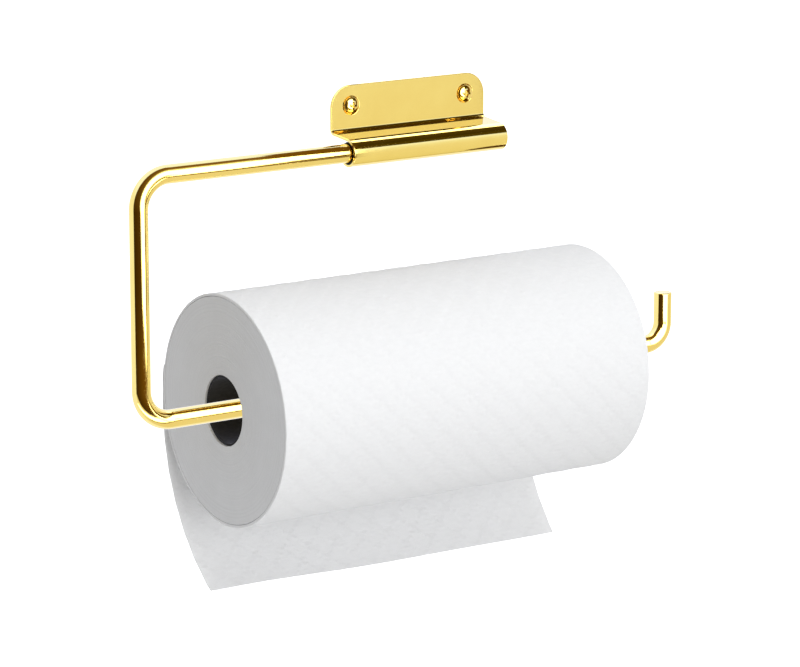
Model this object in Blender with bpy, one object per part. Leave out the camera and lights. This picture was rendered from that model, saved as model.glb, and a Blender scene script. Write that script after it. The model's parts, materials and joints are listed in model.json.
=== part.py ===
"""Wall-mounted swing-arm paper towel holder, with a roll on it.

Metres, +Z up. X runs along the barrel from left to right, and +Y goes into the wall.
The origin is the centre of the plate's back face. The arm hangs straight down.
"""

import math

import bmesh
import bpy
from mathutils import Matrix, Vector

# Gaps between separate pieces
GAP = 0.0003
RUNNING_GAP = 0.0002

# Bracket: one bent sheet. Heights are above the barrel's axis
SHEET = 0.0013
BRACKET_WIDTH = 0.0919
PLATE_TOP = 0.0311
PLATE_FRONT = 0.0143  # from the barrel's axis back to the plate's front face
CORNER_RADIUS = 0.0112
BEND_RADIUS = 0.0018  # inside
SHELF_SLOPE = 5  # degrees down from the plate to the barrel
BARREL_RADIUS = 0.0070  # outside
BARREL_WRAP = 306  # degrees of sheet rolled round the barrel
PLATE_MIDDLE = (PLATE_TOP + BARREL_RADIUS - SHEET) / 2
BARREL_BORE = BARREL_RADIUS - SHEET

# Screw holes in the plate
HOLE_HEIGHT = 0.0208
HOLE_INSET = 0.0118  # from the plate's ends
HOLE_RADIUS = 0.0026
RECESS_RADIUS = 0.0050
RECESS_SEAT = 0.0045
RECESS_DEPTH = 0.0005

# Arm: one bent round rod
ROD_RADIUS = 0.00475
ARM_DROP = 0.1200  # between the barrel's axis and the lower rod
ARM_LENGTH = 0.3153  # between the centres of the leg and the tip
LEG_REACH = 0.1180  # from the barrel's left end to the leg's centre
TOP_BEND = 0.0160
BOTTOM_BEND = 0.0160
TIP_BEND = 0.0110
TIP_HEIGHT = 0.0269  # above the lower rod's axis
TIP_EASING = 0.0007

# Pieces in the barrel, from its ends inwards
BUSH_LENGTH = 0.0120
BUSH_RECESS = 0.0004
PLUG_LENGTH = 0.0030
PLUG_STEP = 0.0009
PLUG_RECESS = 0.0003
PLUG_CLEARANCE = 0.0006
WASHER_RADIUS = 0.0053
WASHER_BORE = 0.0024
WASHER_THICKNESS = 0.0010
TAP_RADIUS = 0.0023
TAP_DEPTH = 0.0110

# Screws: (head radius, head height, shank radius, shank length)
MOUNTING_SCREW = (0.0042, 0.0026, 0.0019, 0.0160)
RETAINING_SCREW = (0.0036, 0.0021, 0.0020, 0.0090)
SCREW_POINT = 0.0040
CROSS_SPAN = 0.0052
CROSS_ARM = 0.0013
CROSS_DEPTH = 0.0016
CROSS_TAPER = 0.45

# Roll of paper
ROLL_RADIUS = 0.0578
ROLL_LENGTH = 0.2169
ROLL_OFFSET = -0.0099  # the roll's middle, from the bracket's middle
CORE_BORE = 0.0163
CORE_WALL = 0.0010
CORE_RECESS = 0.0010

# Loose sheet, hanging from the roll's back
PAPER = 0.0005
LOOSE_CLING = 12  # degrees that it still lies on the roll
LOOSE_DROP = 0.0100  # straight down before it curls
LOOSE_CURL_RADIUS = 0.1100
LOOSE_CURL = 52  # degrees

# Facets
ARC_STEP = 7.5  # degrees
ROD_SIDES = 24
TURNED_SIDES = 48
SCREW_SIDES = 32
ROLL_SIDES = 96
SHARP_ANGLE = math.radians(30)

AXIS_Y = -(PLATE_FRONT + SHEET)
AXIS_Z = -PLATE_MIDDLE
LEFT_END = -BRACKET_WIDTH / 2
RIGHT_END = BRACKET_WIDTH / 2
LEG_X = LEFT_END - LEG_REACH


def clear_scene():
    for item in list(bpy.data.objects):
        bpy.data.objects.remove(item)


def material(name, colour, roughness, metallic):
    made = bpy.data.materials.new(name)
    made.use_nodes = True
    shader = made.node_tree.nodes["Principled BSDF"]
    shader.inputs["Base Color"].default_value = (*colour, 1)
    shader.inputs["Roughness"].default_value = roughness
    shader.inputs["Metallic"].default_value = metallic
    return made


def piece(name, bm, finish=None, parent=None, location=(0, 0, 0), turn=0):
    """One object from a mesh, with its normals facing out. turn is about Z, in degrees."""
    bmesh.ops.recalc_face_normals(bm, faces=bm.faces)
    mesh = bpy.data.meshes.new(name)
    bm.to_mesh(mesh)
    bm.free()
    mesh.shade_smooth()
    mesh.set_sharp_from_angle(angle=SHARP_ANGLE)
    made = bpy.data.objects.new(name, mesh)
    bpy.context.scene.collection.objects.link(made)
    if finish:
        mesh.materials.append(finish)
    made.parent = parent
    made.location = location
    made.rotation_euler.z = math.radians(turn)
    return made


def axis_point(name, location, parent=None):
    made = bpy.data.objects.new(name, None)
    bpy.context.scene.collection.objects.link(made)
    made.parent = parent
    made.location = location
    return made


def cut(target, cutter):
    """Cuts one object's shape out of another, and keeps the cutter as a hidden guide."""
    cutter.hide_render = True
    cutter.display_type = "WIRE"
    boolean = target.modifiers.new("cut_" + cutter.name, "BOOLEAN")
    boolean.operation = "DIFFERENCE"
    boolean.solver = "EXACT"
    boolean.object = cutter


def trace(start, heading, moves):
    """Follows straight and curved moves in a plane, as in bending a strip or a rod.

    A move is (length,) or (radius, turn), with turns to the left positive and angles in degrees.
    Returns a list of (point, heading), with headings in radians.
    """
    point = Vector(start)
    angle = math.radians(heading)
    stations = [(point, angle)]
    for move in moves:
        if len(move) == 1:
            point = point + move[0] * Vector((math.cos(angle), math.sin(angle)))
            stations.append((point, angle))
            continue
        radius, turn = move
        towards = math.copysign(radius, turn)
        centre = point + towards * left_of(angle)
        steps = math.ceil(abs(turn) / ARC_STEP)
        for step in range(1, steps + 1):
            now = angle + math.radians(turn) * step / steps
            stations.append((centre - towards * left_of(now), now))
        point, angle = stations[-1]
    return stations


def left_of(angle):
    return Vector((-math.sin(angle), math.cos(angle)))


def bent_sheet(stations, low_x, high_x, thickness):
    """A sheet bent along stations in the YZ plane, with its thickness shared between both sides."""
    bm = bmesh.new()
    rows = []
    for point, angle in stations:
        aside = left_of(angle) * thickness / 2
        corners = [(low_x, point + aside), (high_x, point + aside), (high_x, point - aside), (low_x, point - aside)]
        rows.append([bm.verts.new((x, flat.x, flat.y)) for x, flat in corners])
    join_rows(bm, rows)
    bm.faces.new(rows[0])
    bm.faces.new(rows[-1])
    return bm


def join_rows(bm, rows, closed=False):
    """Quads between neighbouring rings of points. A ring of one point is a pole."""
    following = rows[1:] + rows[:1] if closed else rows[1:]
    for near, far in zip(rows, following):
        sides = max(len(near), len(far))
        if sides == 1:
            continue
        for side in range(sides):
            after = side + 1
            corners = [near[side % len(near)], near[after % len(near)], far[after % len(far)], far[side % len(far)]]
            bm.faces.new(dict.fromkeys(corners))


def turned(profile, sides):
    """Turns a closed profile of (distance along X, radius) about the X axis."""
    bm = bmesh.new()
    rows = []
    for along, radius in profile:
        angles = [2 * math.pi * side / sides for side in range(sides)] if radius else [0]
        rows.append([bm.verts.new((along, radius * math.cos(a), radius * math.sin(a))) for a in angles])
    join_rows(bm, rows, closed=True)
    return bm


def sleeve(low_x, high_x, outer, inner, sides):
    return turned([(low_x, outer), (high_x, outer), (high_x, inner), (low_x, inner)], sides)


def plain_cylinder(radius, length, sides):
    """A solid cylinder from the origin along +X."""
    return turned([(0, 0), (0, radius), (length, radius), (length, 0)], sides)


def bent_rod(stations, radii):
    """A round rod along stations in the XZ plane, with a radius for each station."""
    bm = bmesh.new()
    rows = []
    for (point, angle), radius in zip(stations, radii):
        aside = left_of(angle)
        ring = []
        for side in range(ROD_SIDES):
            around = 2 * math.pi * side / ROD_SIDES
            flat = point + aside * radius * math.cos(around)
            ring.append(bm.verts.new((flat.x, radius * math.sin(around), flat.y)))
        rows.append(ring)
    join_rows(bm, rows)
    bm.faces.new(rows[0])
    bm.faces.new(rows[-1])
    return bm


def wall_bracket(finish):
    """Plate, bend, shelf and rolled barrel, all of one sheet."""
    half = SHEET / 2
    bend = BEND_RADIUS + half
    rolled = BARREL_RADIUS - half
    down, level = math.sin(math.radians(SHELF_SLOPE)), math.cos(math.radians(SHELF_SLOPE))
    shelf = (PLATE_FRONT + half - bend * (1 - down) + rolled * down) / level
    bend_height = (rolled + bend) * level + shelf * down
    stations = trace(
        (AXIS_Y + PLATE_FRONT + half, AXIS_Z + PLATE_TOP),
        -90,
        [
            (PLATE_TOP - bend_height,),
            (bend, SHELF_SLOPE - 90),
            (shelf,),
            (rolled, BARREL_WRAP - SHELF_SLOPE),
        ],
    )
    made = piece("wall_bracket", bent_sheet(stations, LEFT_END, RIGHT_END, SHEET), finish)
    for name, side in (("left", -1), ("right", 1)):
        cut(made, corner_cutter("corner_" + name, side))
        cut(made, hole_cutter("hole_" + name, side))
    return made


def corner_cutter(name, side):
    """What a rounded top corner takes off the plate: a block with a round bite left out of it."""
    end = side * BRACKET_WIDTH / 2
    centre = Vector((end - side * CORNER_RADIUS, AXIS_Z + PLATE_TOP - CORNER_RADIUS))
    steps = math.ceil(90 / ARC_STEP)
    outline = []
    for step in range(steps + 1):
        angle = math.radians(90 * step / steps)
        outline.append(centre + CORNER_RADIUS * Vector((side * math.cos(angle), math.sin(angle))))
    beyond = CORNER_RADIUS * 2
    outline.append(centre + Vector((0, beyond)))
    outline.append(centre + Vector((side * beyond, beyond)))
    outline.append(centre + Vector((side * beyond, 0)))
    bm = bmesh.new()
    face = bm.faces.new([bm.verts.new((point.x, SHEET, point.y)) for point in outline])
    grown = bmesh.ops.extrude_face_region(bm, geom=[face])["geom"]
    moved = [item for item in grown if isinstance(item, bmesh.types.BMVert)]
    bmesh.ops.translate(bm, verts=moved, vec=(0, -SHEET * 3, 0))
    return piece(name, bm)


def hole_cutter(name, side):
    """A through hole with a shallow dished seat for the screw's head, cut from the plate's front."""
    profile = [
        (-SHEET, 0),
        (-SHEET, HOLE_RADIUS),
        (SHEET - RECESS_DEPTH, HOLE_RADIUS),
        (SHEET - RECESS_DEPTH, RECESS_SEAT),
        (SHEET, RECESS_RADIUS),
        (SHEET * 2, RECESS_RADIUS),
        (SHEET * 2, 0),
    ]
    place = (side * (BRACKET_WIDTH / 2 - HOLE_INSET), 0, AXIS_Z + HOLE_HEIGHT)
    return piece(name, turned(profile, SCREW_SIDES), location=place, turn=-90)


def cross_head_screw(name, sizes, finish, location, turn=0, parent=None, pointed=True):
    """A domed cross-head screw along X. Its origin is under the head, which faces +X."""
    head_radius, head_height, shank_radius, shank_length = sizes
    rim = head_height * 0.35
    point = SCREW_POINT if pointed else shank_radius * 0.4
    tip_radius = 0 if pointed else shank_radius * 0.6
    profile = [(-shank_length, 0)]
    if tip_radius:
        profile.append((-shank_length, tip_radius))
    profile += [(point - shank_length, shank_radius), (0, shank_radius), (0, head_radius)]
    dome_steps = 5
    for step in range(dome_steps + 1):
        angle = math.radians(90 * step / dome_steps)
        radius = 0 if step == dome_steps else head_radius * math.cos(angle)
        profile.append((rim + (head_height - rim) * math.sin(angle), radius))
    made = piece(name, turned(profile, SCREW_SIDES), finish, parent, location, turn)
    cutter = piece(name + "_cross", cross_cutter(head_radius, head_height), None, parent, location, turn)
    cut(made, cutter)
    return made


def cross_cutter(head_radius, head_height):
    """A cross that narrows as it goes into the head, in proportion to the mounting screws' heads."""
    scale = head_radius / MOUNTING_SCREW[0]
    span = CROSS_SPAN / 2 * scale
    arm = CROSS_ARM / 2 * scale
    quarter = [(span, -arm), (span, arm), (arm, arm)]
    outline = []
    for corner in range(4):
        around = Matrix.Rotation(math.radians(90 * corner), 2)
        outline += [around @ Vector(point) for point in quarter]
    floor = head_height - CROSS_DEPTH * scale
    bm = bmesh.new()
    levels = ((floor, CROSS_TAPER), (head_height + CROSS_DEPTH, 1.3))
    rows = [[bm.verts.new((level, *(point * size))) for point in outline] for level, size in levels]
    join_rows(bm, rows)
    bm.faces.new(rows[0])
    bm.faces.new(rows[-1])
    return bm


def swing_arm(finish, barrel_axis, inner_end):
    """The bent rod, from its end in the barrel to its upturned tip, with a tapped hole in that end."""
    upper = inner_end - LEG_X - TOP_BEND
    stations = trace(
        (inner_end, 0),
        180,
        [
            (upper,),
            (TOP_BEND, 90),
            (ARM_DROP - TOP_BEND - BOTTOM_BEND,),
            (BOTTOM_BEND, 90),
            (ARM_LENGTH - BOTTOM_BEND - TIP_BEND,),
            (TIP_BEND, 90),
            (TIP_HEIGHT - TIP_BEND - TIP_EASING,),
            (TIP_EASING,),
        ],
    )
    radii = [ROD_RADIUS] * (len(stations) - 1) + [ROD_RADIUS - TIP_EASING]
    made = piece("swing_arm", bent_rod(stations, radii), finish, barrel_axis)
    tap = plain_cylinder(TAP_RADIUS, TAP_DEPTH * 2, SCREW_SIDES)
    cut(made, piece("arm_tap", tap, None, barrel_axis, (inner_end - TAP_DEPTH, 0, 0)))
    return made


def barrel_pieces(nylon, steel, barrel_axis, arm_axis, gold):
    """Bushes, plug, washer and screw, set out from the barrel's ends. They fix where the arm ends."""
    bush_outer = BARREL_BORE - RUNNING_GAP
    bush_inner = ROD_RADIUS + RUNNING_GAP
    left = LEFT_END + BUSH_RECESS
    piece("left_bush", sleeve(left, left + BUSH_LENGTH, bush_outer, bush_inner, TURNED_SIDES), nylon, barrel_axis)

    plug_face = RIGHT_END - PLUG_RECESS
    plug_back = plug_face - PLUG_LENGTH
    plug_radius = BARREL_BORE - GAP
    plug = [
        (plug_back, 0),
        (plug_back, plug_radius - PLUG_STEP),
        (plug_back + PLUG_STEP, plug_radius),
        (plug_face - PLUG_RECESS, plug_radius),
        (plug_face, plug_radius - PLUG_RECESS),
        (plug_face, 0),
    ]
    piece("end_plug", turned(plug, TURNED_SIDES), nylon, barrel_axis)

    under_head = plug_back - PLUG_CLEARANCE - RETAINING_SCREW[1]
    washer_right = under_head - GAP
    washer_left = washer_right - WASHER_THICKNESS
    inner_end = washer_left - GAP
    bush_right = inner_end - GAP
    washer = sleeve(washer_left, washer_right, WASHER_RADIUS, WASHER_BORE, SCREW_SIDES)
    piece("retaining_washer", washer, steel, arm_axis)
    cross_head_screw(
        "retaining_screw", RETAINING_SCREW, steel, (under_head, 0, 0), parent=arm_axis, pointed=False
    )
    right_bush = sleeve(bush_right - BUSH_LENGTH, bush_right, bush_outer, bush_inner, TURNED_SIDES)
    piece("right_bush", right_bush, nylon, barrel_axis)
    swing_arm(gold, arm_axis, inner_end)


def mounting_screws(finish):
    """Screws in the plate's holes, their heads just clear of the dished seats."""
    head_y = -(SHEET - RECESS_DEPTH + GAP)
    for name, side in (("left", -1), ("right", 1)):
        place = (side * (BRACKET_WIDTH / 2 - HOLE_INSET), head_y, AXIS_Z + HOLE_HEIGHT)
        cross_head_screw("mounting_screw_" + name, MOUNTING_SCREW, finish, place, turn=-90)


def roll_pieces(paper, card, roll_axis):
    half = ROLL_LENGTH / 2
    core_outer = CORE_BORE + CORE_WALL
    core_half = half - CORE_RECESS
    winding = sleeve(-half, half, ROLL_RADIUS, core_outer + GAP, ROLL_SIDES)
    piece("paper_winding", winding, paper, roll_axis)
    core = sleeve(-core_half, core_half, core_outer, CORE_BORE, TURNED_SIDES)
    piece("cardboard_core", core, card, roll_axis)


def loose_sheet(paper, roll_axis):
    """Paper that clings to the roll's back, drops and curls forward under the roll."""
    half = ROLL_LENGTH / 2
    radius = ROLL_RADIUS + GAP + PAPER / 2
    start = math.radians(LOOSE_CLING)
    stations = trace(
        (radius * math.cos(start), radius * math.sin(start)),
        LOOSE_CLING - 90,
        [(radius, -LOOSE_CLING), (LOOSE_DROP,), (LOOSE_CURL_RADIUS, -LOOSE_CURL)],
    )
    piece("loose_sheet", bent_sheet(stations, -half, half, PAPER), paper, roll_axis)


def main():
    clear_scene()
    gold = material("polished_gold", (0.86, 0.62, 0.17), 0.06, 1.0)
    nylon = material("black_nylon", (0.02, 0.02, 0.02), 0.45, 0.0)
    steel = material("zinc_steel", (0.55, 0.55, 0.53), 0.35, 1.0)
    paper = material("towel_paper", (0.90, 0.90, 0.89), 0.95, 0.0)
    card = material("core_cardboard", (0.42, 0.33, 0.24), 0.90, 0.0)

    barrel_axis = axis_point("barrel_axis", (0, AXIS_Y, AXIS_Z))
    arm_axis = axis_point("arm_swing_axis", (0, 0, 0), barrel_axis)
    roll_axis = axis_point("roll_axis", (ROLL_OFFSET, 0, -ARM_DROP), arm_axis)
    wall_bracket(gold)
    mounting_screws(gold)
    barrel_pieces(nylon, steel, barrel_axis, arm_axis, gold)
    roll_pieces(paper, card, roll_axis)
    loose_sheet(paper, roll_axis)


main()
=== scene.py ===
"""Looks for the wall-mounted swing-arm paper towel holder: fine meshes, materials, light and camera.

Metres, in the CAD frame. X runs along the barrel, +Y goes into the wall and +Z is up.
"""

import json
import math

import bmesh
import bpy
import numpy as np
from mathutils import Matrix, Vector

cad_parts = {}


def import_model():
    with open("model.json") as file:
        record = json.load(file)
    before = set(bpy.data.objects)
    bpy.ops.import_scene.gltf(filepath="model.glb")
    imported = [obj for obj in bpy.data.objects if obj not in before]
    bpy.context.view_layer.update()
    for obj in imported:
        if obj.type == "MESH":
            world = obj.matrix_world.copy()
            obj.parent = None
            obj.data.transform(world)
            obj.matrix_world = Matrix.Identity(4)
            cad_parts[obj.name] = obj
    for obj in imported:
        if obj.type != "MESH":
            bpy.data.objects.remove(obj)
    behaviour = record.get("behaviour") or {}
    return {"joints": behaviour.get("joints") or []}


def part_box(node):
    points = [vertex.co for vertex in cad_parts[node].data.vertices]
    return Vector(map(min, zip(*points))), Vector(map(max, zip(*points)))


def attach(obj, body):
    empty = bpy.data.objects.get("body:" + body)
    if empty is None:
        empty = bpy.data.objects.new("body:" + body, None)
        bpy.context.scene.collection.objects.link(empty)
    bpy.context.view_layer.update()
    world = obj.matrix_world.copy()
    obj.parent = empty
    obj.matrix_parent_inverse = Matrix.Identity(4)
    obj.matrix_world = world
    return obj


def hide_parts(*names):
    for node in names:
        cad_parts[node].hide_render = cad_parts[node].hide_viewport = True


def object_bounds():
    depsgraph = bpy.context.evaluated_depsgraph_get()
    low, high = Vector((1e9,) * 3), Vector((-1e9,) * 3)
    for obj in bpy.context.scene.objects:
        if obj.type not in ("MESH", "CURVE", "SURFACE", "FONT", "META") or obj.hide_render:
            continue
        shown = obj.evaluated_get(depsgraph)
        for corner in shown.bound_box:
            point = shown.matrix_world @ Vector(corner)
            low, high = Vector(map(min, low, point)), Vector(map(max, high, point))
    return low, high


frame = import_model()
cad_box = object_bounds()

# Places and sizes that the frame gives
JOINTS = {joint["name"]: Vector(joint["pos_m"]) for joint in frame["joints"]}
BARREL_AXIS = JOINTS["arm_swing"]
ROLL_AXIS = JOINTS["roll_spin"]
BRACKET_LOW, BRACKET_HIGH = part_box("wall_bracket")
ARM_LOW, ARM_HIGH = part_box("swing_arm")
ROLL_LOW, ROLL_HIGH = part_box("paper_winding")
CORE_LOW, CORE_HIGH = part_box("cardboard_core")
ROD_RADIUS = (ARM_HIGH.y - ARM_LOW.y) / 2
ROLL_RADIUS = (ROLL_HIGH.y - ROLL_LOW.y) / 2
ROLL_MIDDLE = (ROLL_LOW.x + ROLL_HIGH.x) / 2
CORE_RADIUS = (CORE_HIGH.y - CORE_LOW.y) / 2

# Bracket: one bent sheet
SHEET = 0.0013
CORNER_RADIUS = 0.0112
LIP_CORNER_RADIUS = 0.0010
BEND_RADIUS = 0.0018
SHELF_SLOPE = math.radians(5)  # down from the plate to the barrel
BARREL_RADIUS = 0.0070
BARREL_WRAP = 306
SHEET_EDGE = 0.00035  # radius of the sheet's edges
HOLE_HEIGHT = 0.0208
HOLE_INSET = 0.0118
HOLE_RADIUS = 0.0026
RECESS_RADIUS = 0.0048
RECESS_SEAT = 0.0045
RECESS_DEPTH = 0.0005
RECESS_EASING = 0.0002

# Arm: one bent rod
TOP_BEND = 0.0160
BOTTOM_BEND = 0.0160
TIP_BEND = 0.0110
TIP_HEIGHT = 0.0269
TIP_EASING = 0.0007
TAP_RADIUS = 0.0023
TAP_DEPTH = 0.0110
TAP_POINT = 0.0010
INNER_EASING = 0.0004
GAP = 0.0003

# Screws and sleeves
SHANKS = {"mounting_screw_left": 0.0019, "mounting_screw_right": 0.0019, "retaining_screw": 0.0020}
BORES = {"left_bush": ROD_RADIUS + 0.0002, "right_bush": ROD_RADIUS + 0.0002, "retaining_washer": 0.0024}
THREAD_START = 0.0015
WOOD_THREAD = (0.0015, 0.00042)  # pitch, depth
MACHINE_THREAD = (0.0007, 0.00025)
SCREW_POINT = 0.0040
SCREW_RIM = 0.22  # share of the head's height
CROSS_SPAN = 0.0052
CROSS_ARM = 0.0013
CROSS_DEPTH = 0.0010
CROSS_TAPER = 0.45
MOUNTING_HEAD = (0.0044, 0.0026)  # radius and height
RETAINING_HEAD = (0.0036, 0.0021)
NYLON_EASING = 0.0003
THREAD_STEPS = 10  # rings in each turn of the thread
THREAD_FLANK = 0.8  # below 1, the groove is rounder
THREAD_REACH = 1.15  # the groove's depth over the thread's stated depth
TAPER_CURVE = 0.8
SCREW_TIP = 0.08  # share of the point's length that its blunt end leaves out
PLUG_BACK = 0.0009
PLUG_DISH = 0.00035
PLUG_RIM = 0.0011

# Roll
CORE_WALL = 0.0010
CORE_SEAM_PITCH = 0.075
CORE_SEAM_DEPTH = 0.00025
CORE_SEAM_WIDTH = 0.0012
CORE_FRAY = 0.00012
PLY = 0.00062
PLY_RELIEF = 0.00010
PLY_WANDER = 0.00006
OUTER_PLIES = 0.0014
RIM_EASING = 0.0005
RIM_REACH = 0.004  # in from the rim, where the rim's unevenness ends

# Embossing: dots pressed along wavy lines
EMBOSS_ROWS = 46  # round the roll, an even number so that the pattern meets itself
EMBOSS_ROW = 2 * math.pi * ROLL_RADIUS / EMBOSS_ROWS
EMBOSS_WAVE_LENGTH = 0.0165
EMBOSS_WAVE = 0.0030
EMBOSS_STEP = 0.0025  # from dot to dot
EMBOSS_DOT = 0.00085
EMBOSS_DEPTH = 0.00040
EMBOSS_PUFF = 0.00014
EMBOSS_FADE = 0.002  # from the roll's rims

# Loose sheet
PAPER = 0.00036
LOOSE_CLING = 12  # degrees round the roll's back
LOOSE_DROP = 0.0100
LOOSE_CURL_LENGTH = 0.0998
LOOSE_CURL = (55, 42)  # degrees at its left and right ends
LOOSE_WAVE = 0.0011
LOOSE_STILL = 0.03  # along the sheet before it starts to wave
LOOSE_FREE = 0.09  # from there until it waves fully

# Camera
CAMERA_AIM = Vector((-0.01472, -0.0156, -0.1129))
CAMERA_REACH = 1.8559
CAMERA_AZIMUTH = math.radians(33.88)
CAMERA_DROP = math.radians(12.79)
CAMERA_LENS = 166.9
SENSOR = 36

# Floor and soft lights
FLOOR_DROP = 0.30
FLOOR_HALF = 12
SOFTBOX_COLOUR = (0.965, 0.98, 1.0)
SOFTBOX_REACH = 2.6
SOFTBOX_SIZE = 1.8
SOFTBOXES = {  # direction from the roll, power
    "front_light": ((0.05, -1.0, 0.12), 21.5),
    "back_light": ((0.1, 1.0, 0.3), 8),
    "top_light": ((0.0, -0.35, 1.0), 17),
}
PALE = 1.05

# Light from around, on everything but polished metal
FROM_ABOVE = 0.56
FROM_BELOW = 0.61
FROM_FRONT = 1.2
FROM_LEFT = 0.86

# What polished metal mirrors
WHITE = (6, 6, 6)
DARK = (0.045, 0.022, 0.0)
DARK_BROWN = (0.10, 0.05, 0.008)
BROWN = (0.20, 0.10, 0.01)
BROWN_LIGHT = (0.31, 0.20, 0.06)
LINE = (0.36, 0.28, 0.14)
BACKDROP = (1.15, 1.28, 1.75)
BACKDROP_HIGH = (1.2, 1.45, 2.6)

# Cards for the arm
STRIPE_STEP = 0.0015
ARM_REACH = 0.50
LINE_REACH = 0.06
TIP_REACH = 0.05
LOWER_ROD = 0.0475  # in sight between the lower bend and the roll
LEG_FADE = 0.045  # above the lower bend, where the leg's highlight starts to narrow
LEG_END = 0.015
TIP_LEAD = 0.012  # before the tip's bend

# Cards for the bracket
BRACKET_REACH = 0.20
BRACKET_CARD = (0.078, 0.200)  # its ends along X
BRACKET_CARD_STEP = 0.5
BRACKET_LIGHTS = [  # degrees up from level in front of the barrel's axis, light
    (-100, (0.93, 0.92, 0.74)),
    (-60, (1.00, 1.00, 0.90)),
    (-10, (1.02, 1.03, 1.03)),
    (10, (1.06, 1.13, 1.30)),
    (20, (1.12, 1.27, 1.80)),
    (31.5, (1.17, 1.40, 2.40)),
    (33.5, (0.10, 0.075, 0.0)),
    (60, (0.055, 0.035, 0.0)),
    (97, (0.090, 0.062, 0.008)),
    (101, (4, 4, 4)),
    (140, (4, 4, 4)),
]
SHADE_GAP = 0.03  # from the bracket's left side
SHADE_FROM_WALL = 0.14
SHADE_HEIGHTS = (-0.05, 0.06)
SHADE_LOW = (0.06, 0.03, 0.0)
SHADE_HIGH = (0.16, 0.09, 0.02)


# Meshes


def piece(name, points, faces, finish, body, nodes=(), slot=None, origin=(0, 0, 0), keep_smooth=30):
    """One object of the model. It rides on a body and stands for CAD nodes."""
    mesh = bpy.data.meshes.new(name)
    mesh.from_pydata([tuple(point) for point in points], [], [tuple(face) for face in faces])
    bm = bmesh.new()
    bm.from_mesh(mesh)
    bmesh.ops.recalc_face_normals(bm, faces=bm.faces)
    bm.to_mesh(mesh)
    bm.free()
    made = bpy.data.objects.new(name, mesh)
    bpy.context.scene.collection.objects.link(made)
    made.location = origin
    shade(mesh, keep_smooth)
    mesh.materials.append(finish)
    if body:
        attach(made, body)
        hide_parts(*nodes)
    return made


def shade(mesh, degrees):
    mesh.shade_smooth()
    mesh.set_sharp_from_angle(angle=math.radians(degrees))


def grid_faces(rows, columns, round_rows=False, round_columns=False, first=0):
    """Quads between neighbouring points of a grid numbered row by row."""
    row = np.arange(rows if round_rows else rows - 1)[:, None]
    column = np.arange(columns if round_columns else columns - 1)[None, :]
    here, below = row * columns, (row + 1) % rows * columns
    beside = (column + 1) % columns
    corners = [here + column, here + beside, below + beside, below + column]
    return (np.stack([c + first for c in corners], axis=-1)).reshape(-1, 4)


def tube(rings):
    """Points and faces of rings of points joined in turn, with a flat cap at each end."""
    rings = np.asarray(rings)
    rows, columns = rings.shape[:2]
    faces = [tuple(face) for face in grid_faces(rows, columns, round_columns=True)]
    faces.append(tuple(range(columns)))
    faces.append(tuple(range((rows - 1) * columns, rows * columns)))
    return rings.reshape(-1, 3), faces


def loop(rings):
    """Points and faces of rings of points joined in turn, the last to the first."""
    rings = np.asarray(rings)
    rows, columns = rings.shape[:2]
    return rings.reshape(-1, 3), grid_faces(rows, columns, round_rows=True, round_columns=True)


def turned_rings(profile, sides):
    """Rings about the X axis for a profile of (distance along X, radius)."""
    around = np.linspace(0, 2 * math.pi, sides, endpoint=False)
    along, radius = np.asarray(profile, dtype=float).T[:, :, None]
    return np.stack(
        [along + 0 * around, radius * np.cos(around), radius * np.sin(around)], axis=-1
    )


def arc(centre, radius, start, end, steps):
    """Points in a plane round a centre, angles in degrees."""
    angles = np.radians(np.linspace(start, end, steps + 1))
    return [(centre[0] + radius * math.cos(a), centre[1] + radius * math.sin(a)) for a in angles]


def eased_sleeve(low, high, outer, inner, easing):
    """The closed profile of a sleeve along X with eased edges."""
    steps = 4
    return [
        *arc((high - easing, outer - easing), easing, 90, 0, steps),
        *arc((high - easing, inner + easing), easing, 0, -90, steps),
        *arc((low + easing, inner + easing), easing, -90, -180, steps),
        *arc((low + easing, outer - easing), easing, 180, 90, steps),
    ]


def round_ring(along, radius, around):
    """One ring about the X axis. Its place along X and its radius may vary round it."""
    return np.stack([along + 0 * around, radius * np.cos(around), radius * np.sin(around)], axis=-1)


class Path:
    """A path of straight runs and arcs in a plane, read at any length along it."""

    def __init__(self, start, heading, moves):
        """A move is (length,) or (radius, turn). Turns to the left are positive. Angles are in degrees."""
        self.runs = []
        self.length = 0
        point, angle = np.array(start, dtype=float), math.radians(heading)
        for move in moves:
            if len(move) == 1:
                length, curve = move[0], 0
            else:
                length = move[0] * math.radians(abs(move[1]))
                curve = math.copysign(1 / move[0], move[1])
            self.runs.append((self.length, length, point, angle, curve))
            point, angle = self.along(point, angle, curve, length)
            self.length += length

    @staticmethod
    def along(point, angle, curve, length):
        if not curve:
            return point + length * np.array([math.cos(angle), math.sin(angle)]), angle
        end = angle + curve * length
        turn = np.array([math.sin(end) - math.sin(angle), math.cos(angle) - math.cos(end)])
        return point + turn / curve, end

    def at(self, distance):
        """The point and heading at a distance along the path."""
        for begin, length, point, angle, curve in self.runs:
            if distance <= begin + length or begin + length == self.length:
                return self.along(point, angle, curve, distance - begin)

    def stops(self, degrees):
        """Distances where a smooth mesh needs points: the ends of each run and steps round each arc."""
        found = [0]
        for begin, length, _, _, curve in self.runs:
            steps = max(1, math.ceil(abs(curve) * length / math.radians(degrees))) if curve else 1
            found += [begin + length * step / steps for step in range(1, steps + 1)]
        return found


def left_of(angle):
    return np.array([-math.sin(angle), math.cos(angle)])


# Nodes


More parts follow.
